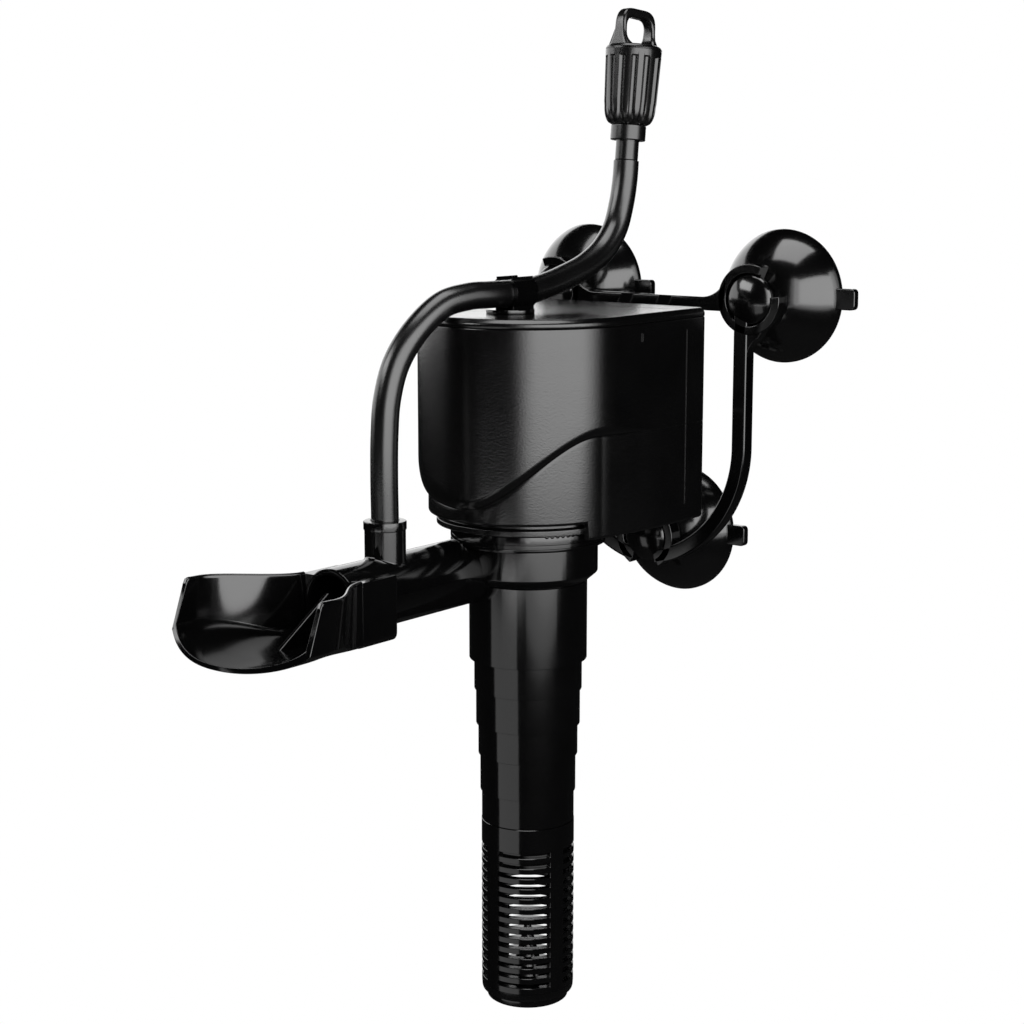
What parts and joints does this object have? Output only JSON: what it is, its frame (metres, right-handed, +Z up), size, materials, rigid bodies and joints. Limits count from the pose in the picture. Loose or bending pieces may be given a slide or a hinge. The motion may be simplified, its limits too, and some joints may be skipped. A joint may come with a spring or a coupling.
{
  "type": "aquarium powerhead pump",
  "caption": "Submersible aquarium circulation pump with a stepped intake stem and strainer, scoop deflector, air hose with regulator, and a suction-cup bracket.",
  "frame": {"origin": "centre of the strainer's foot, on the axis of the rotor and the intake stem", "axes": "+Z up along the rotor axis, +Y towards the tank wall that the suction cups hold, +X to the right along the wall"},
  "size_m": [0.1169, 0.1928, 0.2885],
  "materials": {
    "housing_satin": "fine moulded grain, satin",
    "moulding_gloss": "polished black moulding",
    "bracket_gloss": "polished black moulding",
    "cup_rubber": "glossy soft black",
    "hose_soft": "satin soft tube",
    "knob_satin": "satin",
    "steel_plates": "stacked plates",
    "copper_wire": "lacquered copper",
    "bobbin_white": "moulded",
    "resin": "cast",
    "ferrite": "sintered",
    "shaft_ceramic": "ground",
    "seal_rubber": "matte",
    "impeller_white": "moulded"
  },
  "bodies": {
    "bracket": {"bracket": "bracket_gloss"},
    "pump": {"motor_housing": "housing_satin", "top_lid": "housing_satin", "hose_clip": "moulding_gloss", "cord_gland": "seal_rubber", "potting_slab": "resin", "stator_core": "steel_plates", "bobbin_left": "bobbin_white", "bobbin_right": "bobbin_white", "coil_left": "copper_wire", "coil_right": "copper_wire", "rotor_can": "housing_satin", "upper_bush": "seal_rubber", "lower_bush": "seal_rubber", "thrust_washer": "shaft_ceramic", "shaft": "shaft_ceramic", "chamber_seal": "seal_rubber", "pump_chamber": "moulding_gloss", "intake_stem": "moulding_gloss", "air_hose": "hose_soft", "regulator_body": "knob_satin"},
    "rotor": {"impeller": "impeller_white", "rotor_magnet": "ferrite"},
    "collar": {"lock_collar": "moulding_gloss"},
    "deflector": {"deflector": "moulding_gloss"},
    "strainer": {"strainer": "moulding_gloss"},
    "knob": {"regulator_knob": "knob_satin"},
    "cup_upper_left": {"cup_upper_left": "cup_rubber"},
    "cup_upper_right": {"cup_upper_right": "cup_rubber"},
    "cup_lower": {"cup_lower": "cup_rubber"}
  },
  "joints": [
    {"name": "pump_lift", "type": "slide", "parent": "bracket", "child": "pump", "axis": [0, 0, 1], "range_m": [0, 0.026]},
    {"name": "impeller_spin", "type": "hinge", "parent": "pump", "child": "rotor", "pos_m": [0, 0, 0.165], "axis": [0, 0, 1], "continuous": true},
    {"name": "collar_turn", "type": "hinge", "parent": "pump", "child": "collar", "pos_m": [0, 0, 0.1403], "axis": [0, 0, 1], "range_deg": [0, 30]},
    {"name": "deflector_swivel", "type": "hinge", "parent": "pump", "child": "deflector", "pos_m": [-0.01, -0.065, 0.13], "axis": [0, 1, 0], "range_deg": [-90, 90]},
    {"name": "strainer_pull", "type": "slide", "parent": "pump", "child": "strainer", "axis": [0, 0, -1], "range_m": [0, 0.013]},
    {"name": "regulator_turn", "type": "hinge", "parent": "pump", "child": "knob", "pos_m": [0, 0.04877, 0.25952], "axis": [0, 0.1045, 0.9945], "range_deg": [0, 270]},
    {"name": "upper_left_cup_swivel", "type": "hinge", "parent": "bracket", "child": "cup_upper_left", "pos_m": [-0.03585, 0.062, 0.2044], "axis": [0, 1, 0], "continuous": true},
    {"name": "upper_right_cup_swivel", "type": "hinge", "parent": "bracket", "child": "cup_upper_right", "pos_m": [0.03585, 0.062, 0.2044], "axis": [0, 1, 0], "continuous": true},
    {"name": "lower_cup_swivel", "type": "hinge", "parent": "bracket", "child": "cup_lower", "pos_m": [0, 0.062, 0.1298], "axis": [0, 1, 0], "continuous": true}
  ]
}
